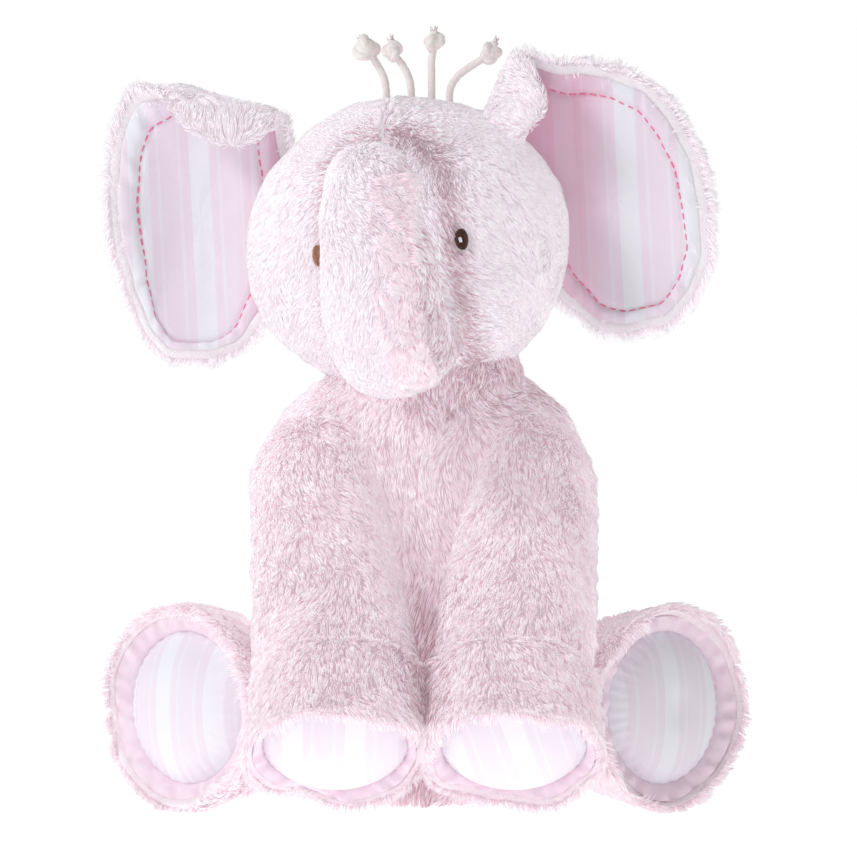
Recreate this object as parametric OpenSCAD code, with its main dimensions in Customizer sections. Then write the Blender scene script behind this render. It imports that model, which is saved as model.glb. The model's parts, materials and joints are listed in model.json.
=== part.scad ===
// Seated stuffed elephant.
// The elephant faces -Y, its own left is +X, and the origin is the middle of its flat seat.
// Soft pieces are plain solids: a skin of plush or cotton round a core of stuffing.

/* [Torso] */
// Radius of the barrel-shaped torso
torso_r = 76; // [74:0.5:78]
// Height of the torso from the seat to the neck seam
torso_h = 180; // [178:1:181]
// Radius of the rounded edge at the seat and at the shoulders
torso_round = 30; // [26:1:34]

/* [Head] */
// Radius of the head
skull_r = 71.5; // [70:0.5:72]
// Height of the head's centre over the neck's pivot
skull_up = 65; // [64:0.5:66]
// Turn of the head about the upright axis, in degrees
head_turn = -7; // [-10:0.5:10]
// Roll of the head towards its own right shoulder, in degrees
head_roll = 6.5; // [0:0.5:8]

/* [Trunk] */
// Radius of the trunk where it leaves the face
trunk_r = 25; // [24:0.5:25.5]
// Radius of the trunk's tip
trunk_tip_r = 19.5; // [18:0.5:21]
// Length of the raised part of the trunk
trunk_rise = 37; // [32:1:42]

/* [Ears] */
// Half of an ear's width
ear_half_w = 41; // [39:0.5:43]
// Half of an ear's height
ear_half_h = 62; // [59:0.5:64]
// Thickness of an ear
ear_thick = 9; // [8:0.5:10]

/* [Arms] */
// Radius of an arm's tube
arm_r = 31; // [30:0.5:31.5]
// Length of an arm from the shoulder's pivot to the mouth of its cuff
arm_long = 143; // [140:1:144]
// Radius of an arm's cuff at its mouth
arm_cuff_r = 38; // [36:0.5:38]
// Lean of the arms from straight down towards the front, in degrees
arm_lean = 38; // [37:0.5:40]

/* [Legs] */
// Radius of a leg's tube
leg_r = 34; // [32:0.5:35]
// Length of a leg from the hip's pivot to the mouth of its cuff
leg_long = 95; // [92:1:97]
// Radius of a leg's cuff at its mouth
leg_cuff_r = 46; // [44:0.5:46]
// Turn of the legs outwards from straight ahead, in degrees
leg_turn = 43; // [42:0.5:46]

/* [Hidden] */
$fn = 64;

LEFT = 1;
RIGHT = -1;

skin = 3;          // thickness of a plush skin
gap = 0.2;         // between two pieces of one body
clear = 0.4;       // between two bodies
slack = 0.8;       // further room beside a swinging tube
far = 400;         // longer than the whole elephant

head_fur = [0.93, 0.87, 0.86];
body_fur = [0.92, 0.82, 0.83];
cotton_pink = [0.93, 0.75, 0.78];
cotton_stripe = [0.96, 0.88, 0.89];
thread_pink = [0.85, 0.3, 0.45];
fill_white = [0.97, 0.97, 0.95];
rope_white = [0.94, 0.89, 0.87];

neck_pivot = [0, -22, torso_h + 7];
neck_r = 40;
skull_at = [0, -6, skull_up];      // in the head's own frame, which starts at the neck's pivot

shoulder_at = [38.5, -52, 140];
shoulder_r = 35;
arm_travel = [-2, 25];
arm_cuff_long = 31;

hip_at = [44, -8, leg_cuff_r];
hip_r = 36.5;
leg_travel = [-2, 15];
leg_cuff_long = 29;

tail_at = [0, torso_r + 3, 62];
tail_ball_r = 9;
tail_r = 6.5;
tail_long = 42;
tail_lean = 53;                    // from straight down towards the back

trunk_at = [0, -59, 31];           // in the head's own frame
trunk_ball_r = 26;
trunk_dive = 36;                   // how far the trunk's root points below the horizon
trunk_root = 8;
trunk_bend_r = 34;
trunk_end_turn = 97;               // where the bend ends, turned up from straight ahead
trunk_travel = [-8, 15];
bend_turn = trunk_dive + trunk_end_turn;
trunk_swell = 0.5;                 // how much wider a ball at a joint is than the tube
gusset_half_w = 12;
gusset_thick = 1.4;
trunk_taper = atan((trunk_r - trunk_tip_r) / trunk_rise);
// Between the tube and the strip, so that the straight strip also clears the tip's ball
gusset_lift = (trunk_tip_r + trunk_swell + 1.5 * gap) / cos(trunk_taper) - trunk_tip_r;
gusset_start = 48;                 // the angle round the bend where the underside's strip starts
gusset_break = 1;                  // the angle between the strip's two lengths, on the bend and up the rise

ear_at = [98, -4, 80];             // an ear's middle, in the head's own frame
ear_tilt = 10;                     // the top of an ear leans towards the head
ear_toe_in = 8;                    // the outer edge of an ear comes forward
ear_fit = 2.8;                     // between an ear's root and the head
ear_rim = 12;                      // width of the plush rim round an ear's cotton face
stitch_long = 2.8;
stitch_r = 0.6;
stitch_count = 44;

eye_half = [2.9, 4.6];
eye_thick = 1.6;
eye_aim = 27;                      // how far an eye sits to its side of the face's middle
eye_rise = 4;

cord_d = 3.4;
cord_sides = 8;
hair_routes = [
    [[-17, -28, 309], [-17, -28, 316], [-18, -28, 322], [-21, -28, 328], [-25, -28, 334], [-28, -28, 339]],
    [[-6, -30, 309], [-6, -30, 316], [-7, -30, 322], [-10, -30, 328], [-14, -30, 333], [-15, -30, 339]],
    [[3, -27, 309], [3, -27, 316], [3, -27, 323], [3, -27, 330], [4, -27, 337], [4, -27, 343]],
    [[11, -29, 309], [11, -29, 316], [13, -29, 321], [17, -29, 325], [23, -29, 329], [29, -29, 333], [31, -29, 338]]
];
hair_knots = [[-26, -28, 335], [-14.5, -30, 334], [4, -27, 338], [29, -29, 333]];
hair_knot_r = [6, 4.8, 5, 5];
hair_hole_r = cord_d / 2 + 2.4;    // the cords start to lean inside their holes

// ---- frames ----

module own_side(side) {
    if (side == LEFT) children();
    else mirror([1, 0, 0]) children();
}

module head_frame() {
    translate(neck_pivot) rotate([0, -head_roll, head_turn]) children();
}

// The arm's frame starts at the shoulder's pivot and has +Z down the arm.
module arm_frame(side, swing = 0) {
    own_side(side) translate(shoulder_at) rotate([180 - arm_lean - swing, 0, 0]) children();
}

// The leg's frame starts at the hip's pivot and has +Z along the leg.
module leg_frame(side, spread = 0) {
    own_side(side) translate(hip_at) rotate([90, 0, leg_turn + spread]) children();
}

module tail_frame() {
    translate(tail_at) rotate([180 + tail_lean, 0, 0]) children();
}

// ---- room for the moving pieces ----

// Half the outline of a slab, r long and half_w to each side.
module slab(r, half_w) {
    translate([0, -half_w]) square([r, 2 * half_w]);
}

module arm_room(side) {
    own_side(side) translate(shoulder_at) sphere(shoulder_r + clear);
    for (swing = arm_travel)
        arm_frame(side, swing) cylinder(r = arm_r + clear + slack, h = far / 2);
    own_side(side) translate(shoulder_at) rotate([0, 90, 0])
        rotate([0, 0, -arm_lean - arm_travel[1]])
            rotate_extrude(angle = arm_travel[1] - arm_travel[0]) slab(far / 2, arm_r + clear);
}

module leg_room(side) {
    own_side(side) translate(hip_at) sphere(hip_r + clear);
    for (spread = leg_travel)
        leg_frame(side, spread) cylinder(r = leg_r + clear + slack, h = far / 2);
    own_side(side) translate(hip_at) rotate([0, 0, leg_turn + leg_travel[0] - 90])
        rotate_extrude(angle = leg_travel[1] - leg_travel[0]) slab(far / 2, leg_r + clear);
}

module tail_room() {
    translate(tail_at) sphere(tail_ball_r + clear);
}

module trunk_room() {
    translate(trunk_at) sphere(trunk_ball_r + clear);
    for (drop = trunk_travel)
        translate(trunk_at) rotate([90 + trunk_dive + drop, 0, 0])
            cylinder(r = trunk_r + clear + slack, h = far / 4);
    translate(trunk_at) rotate([0, 90, 0]) rotate([0, 0, trunk_dive - 90 + trunk_travel[0]])
        rotate_extrude(angle = trunk_travel[1] - trunk_travel[0])
            slab(far / 4, trunk_r + trunk_swell + clear);
}

module neck_room() {
    sphere(neck_r + clear);
}

// ---- torso ----

// A barrel with a flat seat, a flat top and rounded edges, drawn in by inset all round.
module torso_form(inset = 0) {
    core = torso_r - torso_round;
    round = torso_round - inset;
    translate([0, 0, inset]) cylinder(r = core, h = torso_h - 2 * inset);
    translate([0, 0, torso_round]) cylinder(r = torso_r - inset, h = torso_h - 2 * torso_round);
    for (z = [torso_round, torso_h - torso_round])
        translate([0, 0, z]) rotate_extrude() translate([core, 0]) circle(round);
}

module torso_rooms() {
    for (side = [LEFT, RIGHT]) {
        arm_room(side);
        leg_room(side);
    }
    tail_room();
}

module torso_skin() {
    color(body_fur) difference() {
        torso_form();
        torso_form(skin);
        translate([neck_pivot[0], neck_pivot[1], torso_h / 2]) cylinder(r = neck_r - skin, h = torso_h);
        torso_rooms();
    }
}

module torso_stuffing() {
    color(fill_white) difference() {
        torso_form(skin + gap);
        torso_rooms();
    }
}

// ---- neck ----

// A short sleeve with a domed top, on which the head nods.
module neck_form(r) {
    sphere(r);
    translate([0, 0, -neck_pivot[2]]) cylinder(r = r, h = neck_pivot[2]);
}

module above_torso(lift) {
    translate([-far / 2, -far / 2, torso_h - neck_pivot[2] + lift]) cube(far);
}

module neck_skin() {
    color(body_fur) translate(neck_pivot) intersection() {
        difference() {
            neck_form(neck_r);
            neck_form(neck_r - skin);
        }
        above_torso(clear);
    }
}

module neck_stuffing() {
    color(fill_white) translate(neck_pivot) intersection() {
        neck_form(neck_r - skin - gap);
        above_torso(clear);
    }
}

// ---- head ----

module skull(inset = 0) {
    translate(skull_at) sphere(skull_r - inset);
}

module head_rooms() {
    head_frame() {
        neck_room();
        trunk_room();
    }
    for (route = hair_routes)
        translate(route[0] - [0, 0, 1]) cylinder(r = hair_hole_r, h = 20, $fn = 24);
}

module head_skin() {
    color(head_fur) difference() {
        head_frame() skull();
        head_frame() skull(skin);
        head_rooms();
    }
}

module head_stuffing() {
    color(fill_white) difference() {
        head_frame() skull(skin + gap);
        head_rooms();
    }
}

// A flat embroidered oval that lies on the head's surface.
module on_face(side) {
    head_frame() own_side(side) translate(skull_at)
        rotate([0, 0, eye_aim - 90]) rotate([0, -eye_rise, 0])
            translate([skull_r + gap, 0, 0]) rotate([0, 90, 0]) children();
}

module eye(side) {
    color([0.25, 0.13, 0.09]) on_face(side) scale([eye_half[1] / eye_half[0], 1, 1])
        cylinder(r = eye_half[0], h = eye_thick);
}

module eye_highlight(side) {
    color("white") on_face(side) translate([-1.2, -1, eye_thick + 0.1])
        cylinder(r = 0.6, h = 0.5, $fn = 24);
}

// ---- hair ----

function unit(v) = v / norm(v);

// The direction of a route at one of its points.
function along(route, i) =
    unit(route[min(i + 1, len(route) - 1)] - route[max(i - 1, 0)]);

// One ring of points round a route, square to it; every route stays clear of the Y direction.
function ring(route, i) =
    let (t = along(route, i), u = unit(cross(t, [0, 1, 0])), v = cross(t, u))
    [for (k = [0 : cord_sides - 1])
        route[i] + cord_d / 2 * (cos(360 * k / cord_sides) * u + sin(360 * k / cord_sides) * v)];

module swept_cord(route) {
    last = len(route) - 1;
    n = cord_sides;
    points = [for (i = [0 : last]) each ring(route, i)];
    walls = [for (i = [0 : last - 1], k = [0 : n - 1])
        [i * n + k, i * n + (k + 1) % n, (i + 1) * n + (k + 1) % n, (i + 1) * n + k]];
    foot = [[for (k = [n - 1 : -1 : 0]) k]];
    top = [[for (k = [0 : n - 1]) last * n + k]];
    polyhedron(points, concat(walls, foot, top), convexity = 4);
}

module hair_cord(index) {
    color(rope_white) swept_cord(hair_routes[index]);
}

module hair_knot(index) {
    color(rope_white) translate(hair_knots[index]) sphere(hair_knot_r[index]);
}

// ---- trunk ----

// The bend's frame starts at its middle; the trunk turns about +Z, from the angle 0.
module bend_frame() {
    translate(trunk_at) rotate([0, trunk_dive, -90]) translate([trunk_root, 0, trunk_bend_r])
        rotate([90, 0, 0]) rotate([0, 0, -90]) children();
}

// The rise's frame starts at the bend's end, with +Z up the trunk and +X on its underside.
module rise_frame() {
    bend_frame() rotate([0, 0, bend_turn]) translate([trunk_bend_r, 0, 0])
        rotate([-90, 0, 0]) children();
}

module rise_cone(inset) {
    cylinder(r1 = trunk_r - inset, r2 = trunk_tip_r - inset, h = trunk_rise);
}

// A J: a ball in the face, a short root, a bend up and a tapering rise with a round tip.
// A slightly bigger ball closes each joint of the tube.
module trunk_form(inset = 0) {
    joint_r = trunk_r + trunk_swell - inset;
    translate(trunk_at) {
        sphere(trunk_ball_r - inset);
        rotate([90 + trunk_dive, 0, 0]) cylinder(r = trunk_r - inset, h = trunk_root);
    }
    bend_frame() {
        translate([trunk_bend_r, 0, 0]) sphere(joint_r);
        rotate_extrude(angle = bend_turn) translate([trunk_bend_r, 0]) circle(trunk_r - inset);
    }
    rise_frame() {
        sphere(joint_r);
        rise_cone(inset);
        translate([0, 0, trunk_rise]) sphere(trunk_tip_r + trunk_swell - inset);
    }
}

module trunk_skin() {
    color(head_fur) head_frame() difference() {
        trunk_form();
        trunk_form(skin);
        translate(trunk_at) rotate([trunk_dive - 90, 0, 0])
            translate([0, 0, 6]) cylinder(r = trunk_ball_r, h = trunk_ball_r);
    }
}

// A rough strip sewn along the underside, from gusset_start round the bend and up the rise.
module trunk_gusset() {
    color(body_fur) head_frame() {
        bend_frame() rotate([0, 0, gusset_start])
            rotate_extrude(angle = bend_turn - gusset_start - gusset_break)
            translate([trunk_bend_r, 0]) intersection() {
                difference() {
                    circle(trunk_r + gusset_lift + gusset_thick);
                    circle(trunk_r + gusset_lift);
                }
                slab(far / 4, gusset_half_w);
            }
        rise_frame() intersection() {
            difference() {
                rise_cone(-gusset_lift - gusset_thick);
                rise_cone(-gusset_lift);
            }
            translate([0, -gusset_half_w, 0]) cube([far / 4, 2 * gusset_half_w, trunk_rise]);
        }
    }
}

module trunk_stuffing() {
    color(fill_white) head_frame() trunk_form(skin + gap);
}

// ---- ears ----

// The ear's frame starts at its middle; its face looks along -Y.
module ear_frame(side) {
    head_frame() own_side(side) translate(ear_at)
        rotate([0, -ear_tilt, 0]) rotate([0, 0, -ear_toe_in]) children();
}

module ear_disc(inset, from, to) {
    scale([(ear_half_w - inset) / (ear_half_h - inset), 1, 1])
        translate([0, from, 0]) rotate([-90, 0, 0])
            cylinder(r = ear_half_h - inset, h = to - from);
}

module head_clear_of_ears() {
    head_frame() skull(-ear_fit);
}

module ear_back(side) {
    color(body_fur) difference() {
        ear_frame(side) difference() {
            ear_disc(0, -ear_thick / 2, ear_thick / 2);
            ear_disc(ear_rim - gap, -ear_thick, 2 - ear_thick / 2);
        }
        head_clear_of_ears();
    }
}

module ear_front(side) {
    color(cotton_stripe) difference() {
        ear_frame(side) ear_disc(ear_rim, -ear_thick / 2, 2 - gap - ear_thick / 2);
        head_clear_of_ears();
    }
}

// A ring of separate running stitches, which lie on the cotton face.
module ear_stitching(side) {
    ring_w = ear_half_w - ear_rim - 5;
    ring_h = ear_half_h - ear_rim - 5;
    color(thread_pink) ear_frame(side) for (k = [0 : stitch_count - 1]) {
        turn = 360 * k / stitch_count;
        spot = [ring_w * cos(turn), -ear_thick / 2 - stitch_r - gap, ring_h * sin(turn)];
        heading = atan2(ring_h * cos(turn), -ring_w * sin(turn));
        if (spot[0] > 4 - ring_w)
            translate(spot) rotate([0, 90 - heading, 0])
                cylinder(r = stitch_r, h = stitch_long, center = true, $fn = 16);
    }
}

// ---- arms and legs ----

// A tube with a ball at its root, drawn in by inset, with its end at long.
module limb_form(ball_r, r, long, inset = 0) {
    sphere(ball_r - inset);
    cylinder(r = r - inset, h = long);
}

module limb_skin(ball_r, r, long) {
    difference() {
        limb_form(ball_r, r, long);
        limb_form(ball_r, r, long + 1, skin);
    }
}

module limb_stuffing(ball_r, r, long) {
    limb_form(ball_r, r, long, skin + gap);
}

// A flaring ring between two radii, t thick, from z = start to z = end.
module flare(r_start, r_end, start, end, t) {
    rotate_extrude()
        polygon([[r_start, start], [r_start + t, start], [r_end, end], [r_end - t, end]]);
}

module limb_cuff(r, cuff_r, long, cuff_long) {
    flare(r + gap, cuff_r, long - cuff_long, long, skin);
}

// The lining starts where the flare leaves room for it beside the tube.
module limb_cuff_lining(r, cuff_r, long, cuff_long) {
    t = 1.2;
    start = long - cuff_long / 2;
    flare_half = (r + gap + cuff_r - skin) / 2;
    flare(flare_half - t - gap, cuff_r - skin - gap, start, long, t);
}

// A padded disc over the tube's end, with a domed face.
module limb_sole(r, skin_long, bulge) {
    dome_r = (r * r + bulge * bulge) / (2 * bulge);
    translate([0, 0, skin_long + gap]) {
        cylinder(r = r - gap, h = 2);
        intersection() {
            translate([0, 0, 2 + bulge - dome_r]) sphere(dome_r);
            translate([0, 0, 2]) cylinder(r = r - gap, h = bulge + 1);
        }
    }
}

arm_skin_long = arm_long - 10;
leg_skin_long = leg_long - 12;

module arm_skin(side) {
    color(body_fur) arm_frame(side) limb_skin(shoulder_r, arm_r, arm_skin_long);
}

module arm_stuffing(side) {
    color(fill_white) arm_frame(side) limb_stuffing(shoulder_r, arm_r, arm_skin_long);
}

module arm_cuff(side) {
    color(body_fur) arm_frame(side) limb_cuff(arm_r, arm_cuff_r, arm_long, arm_cuff_long);
}

module arm_cuff_lining(side) {
    color(cotton_pink) arm_frame(side)
        limb_cuff_lining(arm_r, arm_cuff_r, arm_long, arm_cuff_long);
}

module arm_sole(side) {
    color(cotton_stripe) arm_frame(side) limb_sole(arm_r - 1, arm_skin_long, 8);
}

module leg_skin(side) {
    color(body_fur) leg_frame(side) limb_skin(hip_r, leg_r, leg_skin_long);
}

module leg_stuffing(side) {
    color(fill_white) leg_frame(side) limb_stuffing(hip_r, leg_r, leg_skin_long);
}

module leg_cuff(side) {
    color(body_fur) leg_frame(side) limb_cuff(leg_r, leg_cuff_r, leg_long, leg_cuff_long);
}

module leg_cuff_lining(side) {
    color(cotton_pink) leg_frame(side)
        limb_cuff_lining(leg_r, leg_cuff_r, leg_long, leg_cuff_long);
}

module leg_sole(side) {
    color(cotton_stripe) leg_frame(side) limb_sole(leg_r, leg_skin_long, 10);
}

// ---- tail ----

module tail_form(inset = 0) {
    sphere(tail_ball_r - inset);
    cylinder(r = tail_r - inset, h = tail_long);
    translate([0, 0, tail_long]) sphere(tail_ball_r - inset);
}

module tail_skin() {
    color(body_fur) tail_frame() difference() {
        tail_form();
        tail_form(skin / 2);
        mirror([0, 0, 1]) translate([0, 0, 4]) cylinder(r = tail_ball_r, h = tail_ball_r);
    }
}

module tail_stuffing() {
    color(fill_white) tail_frame() tail_form(skin / 2 + gap);
}

// ---- pieces ----

torso_skin();
torso_stuffing();
neck_skin();
neck_stuffing();
head_skin();
head_stuffing();
eye(LEFT);  // eye_left
eye(RIGHT);  // eye_right
eye_highlight(LEFT);  // eye_left_highlight
hair_cord(0);  // hair_cord_1
hair_cord(1);  // hair_cord_2
hair_cord(2);  // hair_cord_3
hair_cord(3);  // hair_cord_4
hair_knot(0);  // hair_knot_1
hair_knot(1);  // hair_knot_2
hair_knot(2);  // hair_knot_3
hair_knot(3);  // hair_knot_4
trunk_skin();
trunk_gusset();
trunk_stuffing();
ear_back(LEFT);  // ear_left_back
ear_front(LEFT);  // ear_left_front
ear_stitching(LEFT);  // ear_left_stitching
ear_back(RIGHT);  // ear_right_back
ear_front(RIGHT);  // ear_right_front
ear_stitching(RIGHT);  // ear_right_stitching
arm_skin(LEFT);  // arm_left_skin
arm_stuffing(LEFT);  // arm_left_stuffing
arm_cuff(LEFT);  // arm_left_cuff
arm_cuff_lining(LEFT);  // arm_left_cuff_lining
arm_sole(LEFT);  // arm_left_sole
arm_skin(RIGHT);  // arm_right_skin
arm_stuffing(RIGHT);  // arm_right_stuffing
arm_cuff(RIGHT);  // arm_right_cuff
arm_cuff_lining(RIGHT);  // arm_right_cuff_lining
arm_sole(RIGHT);  // arm_right_sole
leg_skin(LEFT);  // leg_left_skin
leg_stuffing(LEFT);  // leg_left_stuffing
leg_cuff(LEFT);  // leg_left_cuff
leg_cuff_lining(LEFT);  // leg_left_cuff_lining
leg_sole(LEFT);  // leg_left_sole
leg_skin(RIGHT);  // leg_right_skin
leg_stuffing(RIGHT);  // leg_right_stuffing
leg_cuff(RIGHT);  // leg_right_cuff
leg_cuff_lining(RIGHT);  // leg_right_cuff_lining
leg_sole(RIGHT);  // leg_right_sole
tail_skin();
tail_stuffing();
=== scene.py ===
"""Looks of the seated stuffed elephant: plush, cotton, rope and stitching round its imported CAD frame.

Design values are in millimetres and degrees. "left" is the elephant's own left, at +X.
"""
import json
import math

import bmesh
import bpy
import numpy as np
from mathutils import Euler, Matrix, Vector
from mathutils.kdtree import KDTree


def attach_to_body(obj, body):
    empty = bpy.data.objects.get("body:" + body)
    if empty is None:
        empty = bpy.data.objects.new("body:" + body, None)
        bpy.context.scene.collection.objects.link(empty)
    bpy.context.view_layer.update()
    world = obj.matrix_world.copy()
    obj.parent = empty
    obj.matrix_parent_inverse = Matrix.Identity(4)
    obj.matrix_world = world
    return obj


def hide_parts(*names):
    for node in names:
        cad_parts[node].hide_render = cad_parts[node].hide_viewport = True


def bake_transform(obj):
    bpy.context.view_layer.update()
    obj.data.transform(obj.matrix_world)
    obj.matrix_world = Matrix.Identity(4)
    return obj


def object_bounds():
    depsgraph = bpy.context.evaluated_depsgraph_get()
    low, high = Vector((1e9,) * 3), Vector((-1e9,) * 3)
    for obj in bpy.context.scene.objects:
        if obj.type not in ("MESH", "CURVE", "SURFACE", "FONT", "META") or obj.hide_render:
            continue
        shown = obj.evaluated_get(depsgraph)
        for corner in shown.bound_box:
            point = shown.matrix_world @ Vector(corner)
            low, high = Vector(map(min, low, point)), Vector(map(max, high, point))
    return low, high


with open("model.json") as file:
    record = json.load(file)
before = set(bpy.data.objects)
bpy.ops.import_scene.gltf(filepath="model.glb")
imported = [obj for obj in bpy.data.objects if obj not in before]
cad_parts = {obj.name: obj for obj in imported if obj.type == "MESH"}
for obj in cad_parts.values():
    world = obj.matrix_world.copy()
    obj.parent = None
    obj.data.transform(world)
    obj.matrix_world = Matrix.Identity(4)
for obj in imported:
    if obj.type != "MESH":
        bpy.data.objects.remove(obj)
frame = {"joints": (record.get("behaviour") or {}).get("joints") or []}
cad_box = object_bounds()

MM = 0.001
SIDES = {"left": 1, "right": -1}

# The shades of a fibre from its foot to its tip, darker at the foot as painted shade, with tone that differs
# at random from tuft to tuft; and the tint of painted shade for a fibre in a crease
BODY_TINTS = [(0.94, 0.79, 0.85), (0.955, 0.84, 0.885), (0.965, 0.88, 0.92), (0.975, 0.91, 0.945)]
HEAD_TINTS = [(0.93, 0.84, 0.89), (0.95, 0.885, 0.925), (0.96, 0.915, 0.95), (0.97, 0.94, 0.965)]
CREASE_SHADE_TINT = (0.85, 0.63, 0.70)
CREASE_SHADE_INDEX = 3  # the number that stands for the painted crease shade among a fibre's shades
PILE_PAINTED_GLOW = 0.24  # painted light: an even glow of the pile's own tint, standing in for the light that packed translucent fibres pass on to each other
# Painted light: the weaker glow of the fibres that carry the painted crease shade
CREASE_SHADE_GLOW = 0.08

EAR_PINK = (0.90, 0.79, 0.885)
EAR_HOLLOW_SHADE_PINK = (0.95, 0.68, 0.77)  # painted shade: multiplies the cotton's colour in the hollow of an ear, more towards the head
# Where the painted shade in an ear's hollow is full and where it is gone, in mm out from the middle plane
EAR_HOLLOW_SHADE_BAND = (66, 84)
SOLE_PINK = (0.88, 0.815, 0.89)
STRIPE_WHITE = (0.90, 0.895, 0.95)
STRIPE_PERIOD = 27.0
STRIPE_PHASE = 10.32  # in stripes; its whole ones keep the count above zero
WEAVE_PITCH = 0.7
WEAVE_DEPTH = 0.12

STRANDS_PER_PIECE = 19500
FLOOR_GAP = 0.2  # the least height of a fibre over the plane that the elephant sits on
CLOTH_FRAMES = 30
CLOTH_PRESSURE = 400

# The camera, in metres and degrees
LENS_MM = 377
CAMERA_AWAY = 4.0
CAMERA_RISE = 1.5
AIM_X = 0.0016
AIM_HEIGHT = 0.1664

# The studio; distances are in metres
KEY_AT = (-1.5, -0.9, 1.5)
KEY_AIM = (0, 0, 0.17)
KEY_SIZE = 0.6
KEY_POWER = 18
KEY_COLOUR = (0.97, 0.985, 1.0)
STUDIO_FILL = 0.42  # the white room's light on the elephant; the camera sees the room at 1.0
FLOOR_GLOW = 0.64
FLOOR_HALF = 4000
FLOOR_Z = -0.5


# ---- frames ----

def joint_at(name):
    """A joint's place in millimetres."""
    joint = next(j for j in frame["joints"] if j["name"] == name)
    return np.array(joint["pos_m"]) / MM


def placed(at, turn=(0, 0, 0)):
    """The 4x4 of a frame turned about X, then Y, then Z, and moved to at."""
    turned = Euler([math.radians(a) for a in turn]).to_matrix().to_4x4()
    return np.array(Matrix.Translation(at) @ turned)


def mirrored(side):
    return np.diag([side, 1.0, 1.0, 1.0])


def into(matrix, points):
    return np.asarray(points, float) @ matrix[:3, :3].T + matrix[:3, 3]


NECK = joint_at("neck_turn")
HEAD = placed(NECK, (0, -6.5, -7))
TAIL = placed(joint_at("tail_wag"), (180 + 53, 0, 0))
ARM = placed(joint_at("arm_left_swing"), (180 - 38, 0, 0))
LEG = placed(joint_at("leg_left_spread"), (90, 0, 43))


def ear_frame(side):
    return HEAD @ mirrored(side) @ placed((98, -4, 80)) @ placed((0, 0, 0), (0, -10, -8))


# ---- camera and light ----

def make_camera():
    data = bpy.data.cameras.new("camera")
    data.lens = LENS_MM
    data.sensor_width = 36
    camera = bpy.data.objects.new("camera", data)
    bpy.context.scene.collection.objects.link(camera)
    rise = math.radians(CAMERA_RISE)
    target = Vector((AIM_X, 0, cad_box[0].z + AIM_HEIGHT))
    back = Vector((0, -math.cos(rise), math.sin(rise)))
    camera.location = target + CAMERA_AWAY * back
    camera.rotation_euler = back.to_track_quat("Z", "Y").to_euler()
    bpy.context.scene.camera = camera


def make_key_light():
    data = bpy.data.lights.new("key", "AREA")
    data.size = KEY_SIZE
    data.energy = KEY_POWER
    data.color = KEY_COLOUR
    light = bpy.data.objects.new("key", data)
    bpy.context.scene.collection.objects.link(light)
    light.location = KEY_AT
    aim = Vector(KEY_AT) - Vector(KEY_AIM)
    light.rotation_euler = aim.to_track_quat("Z", "Y").to_euler()


def make_studio():
    """A pale floor in a plain white room, with one soft key light."""
    corners = [(x * FLOOR_HALF, y * FLOOR_HALF, FLOOR_Z) for x, y in ((-1, -1), (1, -1), (1, 1), (-1, 1))]
    floor = new_object("floor", corners, [(0, 1, 2, 3)], [floor_material()])
    world = bpy.data.worlds.new("studio")
    bpy.context.scene.world = world
    world.use_nodes = True
    nodes, links = world.node_tree.nodes, world.node_tree.links
    seen = nodes.new("ShaderNodeLightPath").outputs["Is Camera Ray"]
    strength = nodes.new("ShaderNodeMapRange")
    strength.inputs["To Min"].default_value = STUDIO_FILL
    strength.inputs["To Max"].default_value = 1.0
    links.new(seen, strength.inputs["Value"])
    links.new(strength.outputs["Result"], nodes["Background"].inputs["Strength"])
    nodes["Background"].inputs["Color"].default_value = (1, 1, 1, 1)
    make_key_light()
    bpy.context.scene.view_settings.view_transform = "Standard"


# ---- materials ----

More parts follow.
